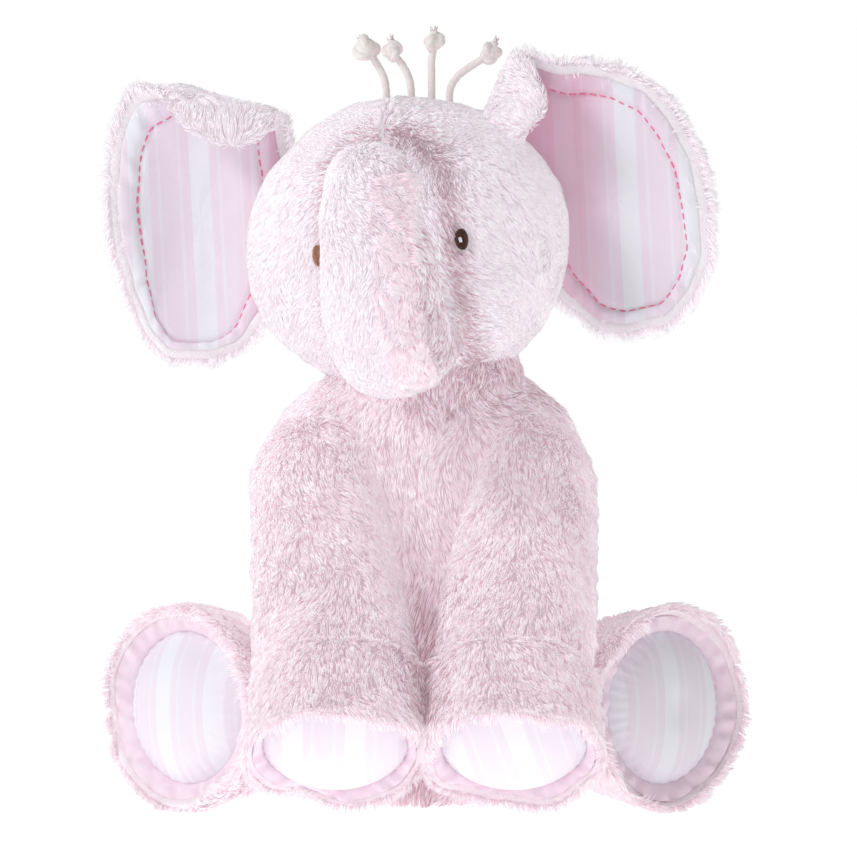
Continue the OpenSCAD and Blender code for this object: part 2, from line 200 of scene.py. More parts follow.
class Shader:
    """A node material under construction, with a Principled shader at its end."""

    def __init__(self, name, roughness, sheen=0.0):
        self.material = bpy.data.materials.new(name)
        self.material.use_nodes = True
        self.tree = self.material.node_tree
        self.principled = self.tree.nodes["Principled BSDF"]
        self.principled.inputs["Roughness"].default_value = roughness
        self.principled.inputs["Sheen Weight"].default_value = sheen
        self.principled.inputs["Sheen Roughness"].default_value = 0.5
        self.principled.inputs["Specular IOR Level"].default_value = 0.2
        self.place = self.node("ShaderNodeTexCoord").outputs["Object"]

    def node(self, kind, **inputs):
        made = self.tree.nodes.new(kind)
        for key, value in inputs.items():
            socket = made.inputs[key]
            if isinstance(value, bpy.types.NodeSocket):
                self.tree.links.new(value, socket)
            else:
                socket.default_value = value
        return made

    def turned(self, angles):
        made = self.node("ShaderNodeMapping", Vector=self.place)
        made.inputs["Rotation"].default_value = [math.radians(a) for a in angles]
        return made.outputs["Vector"]

    def noise(self, size_mm, detail=3.0):
        made = self.node("ShaderNodeTexNoise", Vector=self.place, Scale=1000 / size_mm, Detail=detail)
        return made.outputs["Fac"]

    def ramp(self, value, stops):
        made = self.node("ShaderNodeValToRGB", Fac=value)
        elements = made.color_ramp.elements
        while len(elements) < len(stops):
            elements.new(0.5)
        for element, (where, colour) in zip(elements, stops):
            element.position = where
            element.color = (*colour, 1)
        return made.outputs["Color"]

    def math(self, operation, a, b):
        made = self.tree.nodes.new("ShaderNodeMath")
        made.operation = operation
        for socket, value in zip(made.inputs, (a, b)):
            if isinstance(value, bpy.types.NodeSocket):
                self.tree.links.new(value, socket)
            else:
                socket.default_value = value
        return made.outputs["Value"]

    def colour(self, socket):
        self.tree.links.new(socket, self.principled.inputs["Base Color"])

    def bump(self, height, distance_mm, strength=1.0):
        made = self.node("ShaderNodeBump", Height=height, Distance=distance_mm * MM, Strength=strength)
        self.tree.links.new(made.outputs["Normal"], self.principled.inputs["Normal"])

    def hollow_shaded(self, colour, full_mm, none_mm):
        """A colour with more pink in it towards the head: painted shade in the hollow of an ear."""
        split = self.node("ShaderNodeSeparateXYZ", Vector=self.place)
        gone = self.node("ShaderNodeMapRange", **{"From Min": full_mm * MM, "From Max": none_mm * MM})
        self.tree.links.new(self.math("ABSOLUTE", split.outputs["X"], 0.0), gone.inputs["Value"])
        mix = self.tree.nodes.new("ShaderNodeMix")
        mix.data_type = "RGBA"
        mix.blend_type = "MULTIPLY"
        share, base, tint = mix.inputs[0], mix.inputs[6], mix.inputs[7]
        self.tree.links.new(self.math("SUBTRACT", 1.0, gone.outputs["Result"]), share)
        self.tree.links.new(colour, base)
        tint.default_value = (*EAR_HOLLOW_SHADE_PINK, 1)
        return mix.outputs[2]

    def weave(self, pitch_mm, vector):
        """The height of a plain weave with threads pitch_mm apart, as it lies across vector's X and Z."""
        split = self.node("ShaderNodeSeparateXYZ", Vector=vector)
        turns = 2 * math.pi / (pitch_mm * MM)
        waves = [self.math("SINE", self.math("MULTIPLY", split.outputs[axis], turns), 0.0)
                 for axis in ("X", "Z")]
        return self.math("MULTIPLY", *waves)


def floor_material():
    shader = Shader("floor_paper", 0.9)
    shader.colour(shader.ramp(shader.noise(90), [(0.3, (0.94, 0.94, 0.94)), (0.7, (0.97, 0.97, 0.97))]))
    shader.principled.inputs["Emission Color"].default_value = (1, 1, 1, 1)
    shader.principled.inputs["Emission Strength"].default_value = FLOOR_GLOW
    return shader.material


def plush_skin(name, tints):
    """The knitted ground under the pile."""
    shader = Shader(name, 0.95, 0.3)
    shader.colour(shader.ramp(shader.noise(4), [(0.3, tints[0]), (0.7, tints[2])]))
    shader.bump(shader.noise(0.9, 5), 0.6)
    return shader.material


def pile(name, tints):
    """One plain material for each shade of a fibre, from its root to its tip, and one for the painted shade
    in creases; each glows a little with its own tint as painted light.
    """
    made = []
    for k, tint in enumerate([*tints, CREASE_SHADE_TINT]):
        shader = Shader(f"{name}_{k}", 0.7, 0.25)
        shader.principled.inputs["Base Color"].default_value = (*tint, 1)
        shader.principled.inputs["Emission Color"].default_value = (*tint, 1)
        # Painted light: each fibre glows a little with its own tint, the crease's fibres less
        glow = PILE_PAINTED_GLOW if k < len(tints) else CREASE_SHADE_GLOW
        shader.principled.inputs["Emission Strength"].default_value = glow
        made.append(shader.material)
    return made


def striped_cotton(name, turn, pink, painted_shade=None):
    """Cotton with broad white stripes, each with a thin faint line on both sides.

    Its last argument gives the distance from the middle plane at which the painted shade in an ear's hollow
    is deepest pink, and that at which there is none.
    """
    white = STRIPE_WHITE
    shader = Shader(name, 0.8, 0.15)
    across = shader.turned(turn)
    split = shader.node("ShaderNodeSeparateXYZ", Vector=across)
    turns = shader.math("DIVIDE", split.outputs["X"], STRIPE_PERIOD * MM)
    share = shader.math("FRACT", shader.math("ADD", turns, STRIPE_PHASE), 0.0)
    faint = tuple((a + b) / 2 for a, b in zip(pink, white))
    stops = [(0.0, white), (0.31, white), (0.35, pink), (0.45, pink), (0.47, faint), (0.50, faint),
             (0.52, pink), (0.80, pink), (0.82, faint), (0.85, faint), (0.87, pink), (0.96, pink)]
    stripes = shader.ramp(share, stops)
    # Painted shade in an ear's hollow
    if painted_shade is not None:
        stripes = shader.hollow_shaded(stripes, *painted_shade)
    shader.colour(stripes)
    shader.bump(shader.weave(WEAVE_PITCH, across), WEAVE_DEPTH, 0.6)
    return shader.material


def plain_cotton(name):
    shader = Shader(name, 0.8, 0.15)
    shader.colour(shader.ramp(shader.noise(6), [(0.3, (0.93, 0.74, 0.84)), (0.7, (0.95, 0.81, 0.89))]))
    shader.bump(shader.weave(WEAVE_PITCH, shader.turned((0, 45, 0))), WEAVE_DEPTH, 0.6)
    return shader.material


def thread(name, dark, light):
    shader = Shader(name, 0.55, 0.2)
    shader.colour(shader.ramp(shader.noise(1.2), [(0.35, dark), (0.65, light)]))
    shader.bump(shader.noise(0.25, 2), 0.1)
    return shader.material


def rope_yarn():
    shader = Shader("rope_yarn", 0.9, 0.3)
    shader.colour(shader.ramp(shader.noise(1.6), [(0.3, (0.90, 0.80, 0.80)), (0.7, (0.96, 0.90, 0.89))]))
    shader.bump(shader.noise(0.35, 4), 0.2)
    return shader.material


# ---- meshes ----

def new_object(name, points, faces, materials, slots=None):
    """A smooth mesh object from points in millimetres, its faces turned outwards."""
    mesh = bpy.data.meshes.new(name)
    mesh.from_pydata((np.asarray(points, float) * MM).tolist(), [], [list(map(int, f)) for f in faces])
    for material in materials:
        mesh.materials.append(material)
    if slots is not None:
        mesh.polygons.foreach_set("material_index", slots)
    made = bmesh.new()
    made.from_mesh(mesh)
    bmesh.ops.recalc_face_normals(made, faces=made.faces)
    made.to_mesh(mesh)
    made.free()
    mesh.polygons.foreach_set("use_smooth", [True] * len(mesh.polygons))
    obj = bpy.data.objects.new(name, mesh)
    bpy.context.scene.collection.objects.link(obj)
    return obj


def through(rows, count):
    """count rows on a smooth curve through a few given rows."""
    rows = np.asarray(rows, float)
    ends = np.vstack([2 * rows[0] - rows[1], rows, 2 * rows[-1] - rows[-2]])
    at = np.linspace(0, len(rows) - 1, count)
    k = np.minimum(at.astype(int), len(rows) - 2)
    t = (at - k)[:, None]
    a, b, c, d = (ends[k + j] for j in range(4))
    return 0.5 * (2 * b + (c - a) * t + (2 * a - 5 * b + 4 * c - d) * t**2 + (3 * b - a - 3 * c + d) * t**3)


def loft(rings):
    """Points and faces of a closed skin over rings of points, fanned shut at both ends."""
    rings = np.asarray(rings, float)
    count, around, _ = rings.shape
    points = np.vstack([rings.reshape(-1, 3), rings[0].mean(0), rings[-1].mean(0)])
    first, last = count * around, count * around + 1
    faces = []
    for j in range(around):
        following = (j + 1) % around
        faces.append((first, following, j))
        faces.append((last, (count - 1) * around + j, (count - 1) * around + following))
        faces += [(i * around + j, i * around + following, (i + 1) * around + following, (i + 1) * around + j)
                  for i in range(count - 1)]
    return points, faces


def ovals(rows, around=64, power=2.0):
    """Level rings from rows of (z, centre x, centre y, half width, half depth)."""
    angle = np.linspace(0, 2 * math.pi, around, endpoint=False)
    bend = 2 / power
    x = np.sign(np.cos(angle)) * np.abs(np.cos(angle)) ** bend
    y = np.sign(np.sin(angle)) * np.abs(np.sin(angle)) ** bend
    return np.array([np.stack([cx + hx * x, cy + hy * y, np.full(around, z)], axis=1)
                     for z, cx, cy, hx, hy in rows])


def ball(centre, halves, around=64):
    """Points and faces of a ball with its own half size along each axis."""
    turns = np.radians(np.linspace(-88, 88, around // 2))
    rows = [(centre[2] + halves[2] * math.sin(t), centre[0], centre[1],
             halves[0] * math.cos(t), halves[1] * math.cos(t)) for t in turns]
    return loft(ovals(rows, around))


def merged(parts):
    """Several closed skins as one list of points and faces."""
    points, faces, start = [], [], 0
    for part_points, part_faces in parts:
        points.append(part_points)
        faces += [tuple(start + v for v in face) for face in part_faces]
        start += len(part_points)
    return np.vstack(points), faces


def remeshed(obj, voxel_mm, smooth_steps):
    """Fuses the shells of an object into one skin and softens it."""
    bpy.context.view_layer.objects.active = obj
    obj.data.remesh_voxel_size = voxel_mm * MM
    bpy.ops.object.voxel_remesh()
    soften = obj.modifiers.new("soften", "SMOOTH")
    soften.iterations = smooth_steps
    soften.factor = 0.5
    apply_modifiers(obj)
    obj.data.polygons.foreach_set("use_smooth", [True] * len(obj.data.polygons))


def apply_modifiers(obj):
    shown = obj.evaluated_get(bpy.context.evaluated_depsgraph_get())
    mesh = bpy.data.meshes.new_from_object(shown)
    obj.modifiers.clear()
    obj.data = mesh


def points_of(obj):
    found = np.zeros(len(obj.data.vertices) * 3)
    obj.data.vertices.foreach_get("co", found)
    return found.reshape(-1, 3) / MM


def normals_of(obj):
    found = np.zeros(len(obj.data.vertices) * 3)
    obj.data.vertex_normals.foreach_get("vector", found)
    return found.reshape(-1, 3)


def waves(points, size_mm, seed):
    """A smooth wandering vector for each point, which turns over about every size_mm."""
    rng = np.random.default_rng(seed)
    total = np.zeros_like(points)
    for _ in range(5):
        way = rng.normal(size=(3, 3)) / size_mm * 2.2
        total += np.sin(points @ way + rng.uniform(0, 6.28, 3))
    return total / 2.2


def dented(obj, size_mm, depth_mm, seed):
    """Pushes a skin in and out a little, as uneven stuffing does."""
    points, normals = points_of(obj), normals_of(obj)
    moved = points + normals * waves(points, size_mm, seed)[:, :1] * depth_mm
    obj.data.vertices.foreach_set("co", (moved * MM).ravel())
    obj.data.update()


def settled(obj, held, pressure):
    """Lets a pad's cloth swell under its filling's pressure, held still at some points, and keeps it so."""
    group = obj.vertex_groups.new(name="seam")
    group.add([int(v) for v in np.flatnonzero(held)], 1.0, "REPLACE")
    modifier = obj.modifiers.new("cloth", "CLOTH")
    modifier.collision_settings.use_collision = False
    modifier.point_cache.frame_end = CLOTH_FRAMES
    cloth = modifier.settings
    cloth.vertex_group_mass = "seam"
    cloth.quality = 6
    cloth.mass = 0.001
    cloth.tension_stiffness = cloth.compression_stiffness = 30
    cloth.shear_stiffness = 10
    cloth.bending_stiffness = 0.5
    cloth.use_pressure = True
    cloth.uniform_pressure_force = pressure
    cloth.shrink_min = -0.012
    cloth.effector_weights.gravity = 0
    for step in range(1, CLOTH_FRAMES + 1):
        bpy.context.scene.frame_set(step)
    apply_modifiers(obj)
    obj.vertex_groups.clear()
    bpy.context.scene.frame_set(1)


# ---- fur ----

def unit(vectors):
    return vectors / np.maximum(np.linalg.norm(vectors, axis=-1, keepdims=True), 1e-9)


def scattered(obj, density, rng):
    """Random places on a mesh with the surface's normal at each, density to a square millimetre."""
    mesh = obj.data
    mesh.calc_loop_triangles()
    corners = np.zeros(len(mesh.loop_triangles) * 3, int)
    mesh.loop_triangles.foreach_get("vertices", corners)
    corners = corners.reshape(-1, 3)
    points, normals = points_of(obj), normals_of(obj)
    a, b, c = (points[corners[:, k]] for k in range(3))
    area = np.linalg.norm(np.cross(b - a, c - a), axis=1) / 2
    count = int(area.sum() * density)
    pick = rng.choice(len(area), count, p=area / area.sum())
    u, v = rng.random((2, count, 1))
    u, v = np.where(u + v > 1, 1 - u, u), np.where(u + v > 1, 1 - v, v)
    place = a[pick] + u * (b - a)[pick] + v * (c - a)[pick]
    na, nb, nc = (normals[corners[pick, k]] for k in range(3))
    return place, unit(na * (1 - u - v) + nb * u + nc * v)


def clumped(roots, tips, spacing, pull, rng):
    """Draws fibres' tips together into tufts about spacing apart."""
    count = max(1, int(len(roots) * spacing))
    chosen = rng.choice(len(roots), count, replace=False)
    tree = KDTree(count)
    for k, index in enumerate(chosen):
        tree.insert(roots[index], k)
    tree.balance()
    nearest = np.array([chosen[tree.find(p)[1]] for p in roots])
    share = pull * rng.uniform(0.5, 1.0, (len(roots), 1))
    return tips + (tips[nearest] + (roots - roots[nearest]) * 0.25 - tips) * share, nearest


def fibre_mesh(name, roots, bends, tips, width, materials, shades):
    """Three-sided tapering fibres, each closed, with a darker foot as painted shade and a lighter tip."""
    count = len(roots)
    axis = unit(tips - roots)
    side = unit(np.cross(axis, [0.31, 0.52, 0.79]))
    up = np.cross(axis, side)
    ring = [math.radians(a) for a in (90, 210, 330)]
    spokes = np.stack([math.cos(a) * side + math.sin(a) * up for a in ring], axis=1)
    width = width[:, None, None]
    points = np.concatenate([roots[:, None] + spokes * width, bends[:, None] + spokes * width * 0.85,
                             tips[:, None]], axis=1)
    points[..., 2] = np.maximum(points[..., 2], FLOOR_GAP)
    faces = np.array([(2, 1, 0), (0, 1, 4), (0, 4, 3), (1, 2, 5), (1, 5, 4), (2, 0, 3), (2, 3, 5),
                      (3, 4, 6), (4, 5, 6), (5, 3, 6)])
    all_faces = (faces[None] + 7 * np.arange(count)[:, None, None]).reshape(-1, 3)
    mesh = bpy.data.meshes.new(name)
    mesh.vertices.add(count * 7)
    mesh.vertices.foreach_set("co", (points * MM).astype(np.float32).ravel())
    mesh.loops.add(all_faces.size)
    mesh.loops.foreach_set("vertex_index", all_faces.ravel().astype(np.int32))
    mesh.polygons.add(len(all_faces))
    mesh.polygons.foreach_set("loop_start", np.arange(0, all_faces.size, 3, dtype=np.int32))
    for material in materials:
        mesh.materials.append(material)
    # The foot takes one of the darker tints as painted shade and the tip a lighter one; a fibre in a crease
    # takes the painted crease shade all along
    slots = np.where(np.arange(10) < 7, shades[:, None] // 2, 1 + shades[:, None])
    slots = np.where(shades[:, None] == CREASE_SHADE_INDEX, CREASE_SHADE_INDEX + 1, slots)
    mesh.polygons.foreach_set("material_index", slots.astype(np.int32).ravel())
    mesh.update(calc_edges=True)
    mesh.validate()
    obj = bpy.data.objects.new(name, mesh)
    bpy.context.scene.collection.objects.link(obj)
    return obj


def grow_fur(base, materials, attach, density=1.5, length=7.5, comb=None, lift=0.33, keep=None,
             seed=1, width=0.22, tuft=0.035, pull=0.4, painted_shade=None):
    """Fur on a base skin: fibres that lie along comb, gather in tufts and ride as attach says.

    keep says where it grows, and the last argument gives the share of fibres that take the tint of painted
    shade in a crease.
    """
    rng = np.random.default_rng(seed)
    roots, normals = scattered(base, density, rng)
    if keep is not None:
        kept = keep(roots, normals)
        roots, normals = roots[kept], normals[kept]
    way = np.array([0, 0, -1.0]) if comb is None else comb(roots)
    way = way + 0.4 * waves(roots, 26, seed) + 0.22 * waves(roots, 8, seed + 50)
    way = unit(way - normals * (way * normals).sum(1, keepdims=True))
    reach = length * rng.uniform(0.7, 1.15, (len(roots), 1))
    lean = lift * (1 + 0.35 * waves(roots, 7, seed + 9)[:, :1])
    tips = roots + reach * unit(normals * lean + way * (1 - 0.45 * lean))
    tips, clump = clumped(roots, tips, tuft, pull, rng)
    above = ((tips - roots) * normals).sum(1, keepdims=True)
    tips = tips + normals * np.maximum(1.2 - above, 0)
    bends = roots + 0.45 * (tips - roots) + normals * reach * 0.13
    roots = roots - normals * 0.6
    shades = rng.integers(0, 3, len(roots))
    shades = np.where(rng.random(len(roots)) < 0.6, (clump * 7) % 3, shades)
    # Painted shade: where creases are shaded, that share of fibres takes the crease's tint
    if painted_shade is not None:
        shades = np.where(rng.random(len(roots)) < painted_shade(roots), CREASE_SHADE_INDEX, shades)
    widths = width * rng.uniform(0.75, 1.25, len(roots))
    order = rng.permutation(len(roots))
    made = []
    for k, part in enumerate(np.array_split(order, math.ceil(len(order) / STRANDS_PER_PIECE))):
        obj = fibre_mesh(f"{base.name}_pile_{seed}_{k + 1}", roots[part], bends[part], tips[part],
                         widths[part], materials, shades[part])
        attach(obj)
        made.append(obj)
    return made


# ---- attaching ----

def riding(body):
    return lambda obj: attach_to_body(obj, body)


def bending():
    """Attaches a piece by baking its place into its own mesh; it is not tied to a body and nothing bends it.
    """
    return lambda obj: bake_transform(obj)


# ---- torso and neck ----

def in_tube(points, matrix, r, start, end):
    """Which points lie within r of a frame's Z axis, between two heights."""
    local = (points - matrix[:3, 3]) @ matrix[:3, :3]
    return (np.hypot(local[:, 0], local[:, 1]) < r) & (local[:, 2] > start) & (local[:, 2] < end)


def in_torso(points):
    """Which points lie well inside the torso, where a limb's fur would not show."""
    return (np.hypot(points[:, 0], points[:, 1]) < 62) & (points[:, 2] > 8) & (points[:, 2] < 150)


def make_torso(skin, pile_materials):
    """The torso's barrel of plush, with no fur where another part covers it."""
    rows = through([(1.5, 0, 4, 40, 42), (3, 0, 4, 54, 56), (9, 0, 3, 65, 67), (24, 0, 2, 71, 72),
                    (60, 0, 0, 71.5, 72), (110, 0, 0, 71.5, 71), (140, 0, -2, 71, 69),
                    (158, 0, -4, 67.5, 66), (172, 0, -7, 60, 60), (182, 0, -11, 50, 52),
                    (190, 0, -15, 38, 42), (195, 0, -17, 20, 24)], 70)
    torso = new_object("torso_plush", *loft(ovals(rows, 96, 2.15)), [skin])
    dented(torso, 40, 0.8, 3)
    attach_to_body(torso, "torso")
    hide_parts("torso_skin", "torso_stuffing")

    def in_the_open(points, normals):
        hidden = points[:, 2] < 5
        hidden |= (np.linalg.norm(points - NECK, axis=1) < 39) & (points[:, 2] > 184)
        for sign in SIDES.values():
            hidden |= in_tube(points, mirrored(sign) @ ARM, 20, 14, 105)
            hidden |= in_tube(points, mirrored(sign) @ LEG, 29, -8, 75)
        return ~hidden

    def painted_crease_shade(points):
        """Painted shade: deep pink low down between the arms, and under the chin."""
        shade_between_arms = np.exp(-((points[:, 0] / 15) ** 2)) * (points[:, 1] < 0) * (points[:, 2] < 105)
        low = np.clip((110 - points[:, 2]) / 45, 0, 1)
        shade_under_chin = np.clip((points[:, 2] - 166) / 14, 0, 1) * (points[:, 0] > -8)
        return np.maximum(0.8 * shade_between_arms * low, 0.35 * shade_under_chin)

    grow_fur(torso, pile_materials, riding("torso"), density=1.3, seed=11,
             keep=in_the_open, painted_shade=painted_crease_shade)


def make_neck(skin, pile_materials):
    """The sleeve of plush under the head, with two fibres in five in the crease's tint as painted shade."""
    rows = through([(172, 0, 0, 30, 30), (176, 0, 0, 41, 41), (186, 0, 0, 41.5, 41.5), (196, 0, 0, 40, 40),
                    (206, 0, 0, 32, 32)], 24)
    rows[:, 1:3] += NECK[:2]
    neck = new_object("neck_plush", *loft(ovals(rows)), [skin])
    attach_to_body(neck, "neck")
    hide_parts("neck_skin", "neck_stuffing")
    skull = into(HEAD, [(0, -6, 65)])[0]
    grow_fur(neck, pile_materials, riding("neck"), length=6, seed=12,
             # Painted shade: two fibres in five take the crease's tint
             painted_shade=lambda p: np.full(len(p), 0.4),
             keep=lambda p, n: (p[:, 2] > 179) & (np.linalg.norm(p - skull, axis=1) > 64))


# ---- head and trunk ----

TRUNK_LINE = [
    # forward, height, half width, half thickness, in the head's own frame
    (44, 42, 23, 20), (58, 29, 25.5, 21), (74, 20.5, 26, 20.5), (93, 18, 25.5, 20), (109, 25, 25, 20),
    (118, 40, 24.4, 20), (119.5, 54, 23.4, 19.5), (117.5, 67, 21.6, 18.8), (114.5, 79, 19.6, 18),
    (112.6, 88, 18.2, 17.6)
]


def trunk_tube():
    """Points and faces of the trunk along its line, with a round tip, in the head's own frame."""
    rows = through(TRUNK_LINE, 60)
    line = np.stack([np.zeros(len(rows)), -rows[:, 0], rows[:, 1]], axis=1)
    along = unit(np.gradient(line, axis=0))
    across = np.cross(along, [1.0, 0, 0])
    angle = np.linspace(0, 2 * math.pi, 48, endpoint=False)
    rings = [p + row[2] * np.cos(angle)[:, None] * [1.0, 0, 0] + row[3] * np.sin(angle)[:, None] * v
             for p, row, v in zip(line, rows, across)]
    tip, way, r = line[-1], along[-1], rows[-1, 2]
    for turn in np.radians([20, 40, 58, 72, 83]):
        rings.append(tip + way * r * math.sin(turn)
                     + (np.cos(angle)[:, None] * [1.0, 0, 0] + np.sin(angle)[:, None] * across[-1])
                     * r * math.cos(turn))
    return loft(rings)


def face_comb(points):
    """Down and away from the middle of the face, and up the trunk."""
    local = (points - NECK) @ HEAD[:3, :3]
    out = np.stack([np.sign(local[:, 0]) * 0.5, np.full(len(local), 0.2), np.full(len(local), -0.8)], axis=1)
    on_trunk = local[:, 1] < -88
    out[on_trunk] = (0.1, 0.1, -0.9)
    return out @ HEAD[:3, :3].T


def eye_place(side):
    """The middle of an eye on the fur's surface, and the frame that faces out of it."""
    aim = placed((0, 0, 0), (0, 0, SIDES[side] * 27 - 90))
    return HEAD @ placed((0, -6, 61)) @ aim @ placed((70.0, 0, 0), (0, 90, 0))


def make_head(skin, pile_materials, rough_materials):
    """Head and trunk in one skin, with the trunk's rougher strip."""
    parts = merged([ball((0.5, -6, 62), (70.5, 65.5, 64)), ball((1, -15, 49), (67, 53, 46)), trunk_tube()])
    head = new_object("head_plush", into(HEAD, parts[0]), parts[1], [skin])
    remeshed(head, 2.2, 14)
    dented(head, 36, 0.6, 5)
    attach = bending()
    attach(head)
    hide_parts("head_skin", "head_stuffing", "trunk_skin", "trunk_stuffing", "trunk_gusset")
    eyes = [eye_place(side)[:3, 3] for side in SIDES]

    def clear_of_eyes(points, normals):
        far = np.min([np.linalg.norm(points - eye, axis=1) for eye in eyes], axis=0) > 5.5
        return far & (np.linalg.norm(points - NECK, axis=1) > 40)

    def painted_shade_round_trunk(points):
        """Painted shade: deep pink in the crease round the trunk, and a little on the trunk's side away from
        the key light.
        """
        local = (points - NECK) @ HEAD[:3, :3]
        x, forward, z = local[:, 0], -local[:, 1], local[:, 2]
        beside = np.exp(-((np.hypot(x, np.maximum(z - 84, 0)) - 26) / 5) ** 2) * np.where(x > 0, 0.7, 0.5)
        shaded_side = 0.4 * np.clip((x - 9) / 12, 0, 1) * (forward > 98)
        return np.maximum(beside * (z > 2) * (forward > 30) * (forward < 104), shaded_side)

    def on_the_strip(points, normals):
        local = (points - NECK) @ HEAD[:3, :3]
        return (np.abs(local[:, 0] - 9) < 9) & (local[:, 1] < -98) & (local[:, 2] < 92)

    grow_fur(head, pile_materials, attach, density=1.65, length=5.2, comb=face_comb,
             keep=clear_of_eyes, lift=0.28, seed=21, painted_shade=painted_shade_round_trunk)
    grow_fur(head, rough_materials, attach, length=6.5, comb=face_comb, keep=on_the_strip,
             lift=0.85, seed=22, tuft=0.02, pull=0.9)


# ---- eyes ----

def capsule(start, end, r, around=8):
    """Points and faces of a thread from start to end, thinner at its ends."""
    start, end = np.asarray(start, float), np.asarray(end, float)
    way = unit(end - start)
    side = unit(np.cross(way, [0.3, 0.5, 0.81]))
    up = np.cross(way, side)
    angle = np.linspace(0, 2 * math.pi, around, endpoint=False)
    spokes = np.cos(angle)[:, None] * side + np.sin(angle)[:, None] * up
    stations = [(0.0, 0.35), (0.12, 0.9), (0.5, 1.0), (0.88, 0.9), (1.0, 0.35)]
    return loft([start + (end - start) * t + spokes * r * w for t, w in stations])


def make_eye(side, material):
    """An oval of satin stitches, side by side, over a small dome."""
    half_w, half_h, dome = 2.9, 4.6, 1.3
    matrix = eye_place(side)
    threads = []
    for x in np.linspace(-half_h + 0.35, half_h - 0.35, 15):
        reach = half_w * math.sqrt(1 - (x / half_h) ** 2)
        lift = dome * (1 - (x / half_h) ** 2)
        middle = capsule((x, -reach, 0.2), (x, 0, lift), 0.42)
        other = capsule((x, 0, lift), (x, reach, 0.2), 0.42)
        threads += [middle, other]
    pad = ball((0, 0, -1.6), (half_h - 0.2, half_w - 0.2, 2.2), 24)
    points, faces = merged([pad, *threads])
    eye = new_object(f"eye_{side}_satin", into(matrix, points), faces, [material])
    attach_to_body(eye, "head")
    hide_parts(f"eye_{side}")


def make_highlight(material):
    """Three short white stitches over the left eye."""
    matrix = eye_place("left")
    points, faces = merged([capsule((-1.0, -1.9 + k * 0.45, 1.5), (1.3, -1.6 + k * 0.45, 1.6), 0.3)
                            for k in range(3)])
    spot = new_object("eye_left_highlight_satin", into(matrix, points), faces, [material])
    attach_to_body(spot, "head")
    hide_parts("eye_left_highlight")


# ---- hair ----

HAIR_ROUTES = [
    [(-17, -28, 309), (-17, -28, 316), (-18, -28, 322), (-21, -28, 328), (-25, -28, 334), (-28, -28, 339)],
    [(-6, -30, 309), (-6, -30, 316), (-7, -30, 322), (-10, -30, 328), (-14, -30, 333), (-15, -30, 339)],
    [(3, -27, 309), (3, -27, 316), (3, -27, 323), (3, -27, 330), (4, -27, 337), (4, -27, 343)],
    [(11, -29, 309), (11, -29, 316), (13, -29, 321), (17, -29, 325), (23, -29, 329), (29, -29, 333),
     (31, -29, 338)]
]
HAIR_KNOTS = [((-26, -28, 335), 6.4), ((-14.5, -30, 334), 4.8), ((4, -27, 338), 5.0), ((29, -29, 333), 5.0)]
ROPE_D = 3.4


def swept(line, r, lobes=3, twist_mm=9.0, depth=0.12):
    """A twisted rope along a line: a lobed round section that turns as it goes."""
    line = np.asarray(line, float)
    along = unit(np.gradient(line, axis=0))
    run = np.concatenate([[0], np.cumsum(np.linalg.norm(np.diff(line, axis=0), axis=1))])
    angle = np.linspace(0, 2 * math.pi, 24, endpoint=False)
    side = unit(np.cross(along[0], [0.2, 0.9, 0.1]))
    rings = []
    for p, way, s in zip(line, along, run):
        side = unit(side - way * (side @ way))
        up = np.cross(way, side)
        lobe = 1 - depth * (1 - np.abs(np.cos(lobes / 2 * (angle - 2 * math.pi * s / twist_mm))))
        rings.append(p + r * lobe[:, None] * (np.cos(angle)[:, None] * side + np.sin(angle)[:, None] * up))
    return loft(rings)


def knot_line(centre, r, seed):
    """An overhand knot's open loop, r in radius, round a point."""
    t = np.linspace(0.35, 2 * math.pi - 0.35, 90)
    loop = np.stack([np.sin(t) + 2 * np.sin(2 * t), np.cos(t) - 2 * np.cos(2 * t), -1.4 * np.sin(3 * t)],
                    axis=1)
    turn = np.array(Euler((0.4 + seed, 0.9 * seed, 0.5)).to_matrix())
    return np.array(centre) + loop @ turn.T * (r - 1.6) / 3.1


def make_hair(yarn):
    """Four ropes out of the top of the head, each with a knot and a frayed end."""
    for k, (route, (centre, r)) in enumerate(zip(HAIR_ROUTES, HAIR_KNOTS), start=1):
        line = through(route, 30)
        rope = new_object(f"hair_rope_{k}", *swept(line, ROPE_D / 2), [yarn])
        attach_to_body(rope, "head")
        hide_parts(f"hair_cord_{k}")
        rng = np.random.default_rng(k)
        end = line[-1]
        way = unit(line[-1] - line[-4])
        fray = [capsule(end - way * 2.5 + rng.normal(0, 0.6, 3), end + way * rng.uniform(0.6, 2.0)
                        + rng.normal(0, 0.7, 3), 0.3, 6) for _ in range(18)]
        core = ball(centre, (r * 0.78,) * 3, 16)
        wrap = swept(knot_line(centre, r, k), 2.1)
        knot = new_object(f"hair_knot_{k}_wrap", *merged([wrap, core, *fray]), [yarn])
        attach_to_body(knot, "head")
        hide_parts(f"hair_knot_{k}")


# ---- ears ----

EAR_THICK = 7.0
# Where the stitching and the cotton's edge lie, as shares of the way out to the ear's edge
STITCH_SHARE = 0.775
COTTON_SHARE = 0.925
STITCH_PITCH = 4.6
EAR_SHAPES = {
    # middle (across, up), half width and height, fold (direction, start, radius, most turn), depth of the
    # cup, corners (direction, spread, how much further out), seam's share at the side, bottom and top
    "left": dict(middle=(-6, -7.5), half=(42.5, 59.5), fold=(140, 54, 8, 160), cup=9,
                 corners=[(137, 27, 0.85)], seam=(0.72, 0.86, 0.78)),
    "right": dict(middle=(-6, 4.5), half=(41.5, 62), fold=(100, 50, 6.5, 178), cup=11,
                  corners=[(42, 26, 0.15), (110, 30, 0.24), (325, 26, -0.12)], seam=(0.68, 0.92, 0.76)),
}


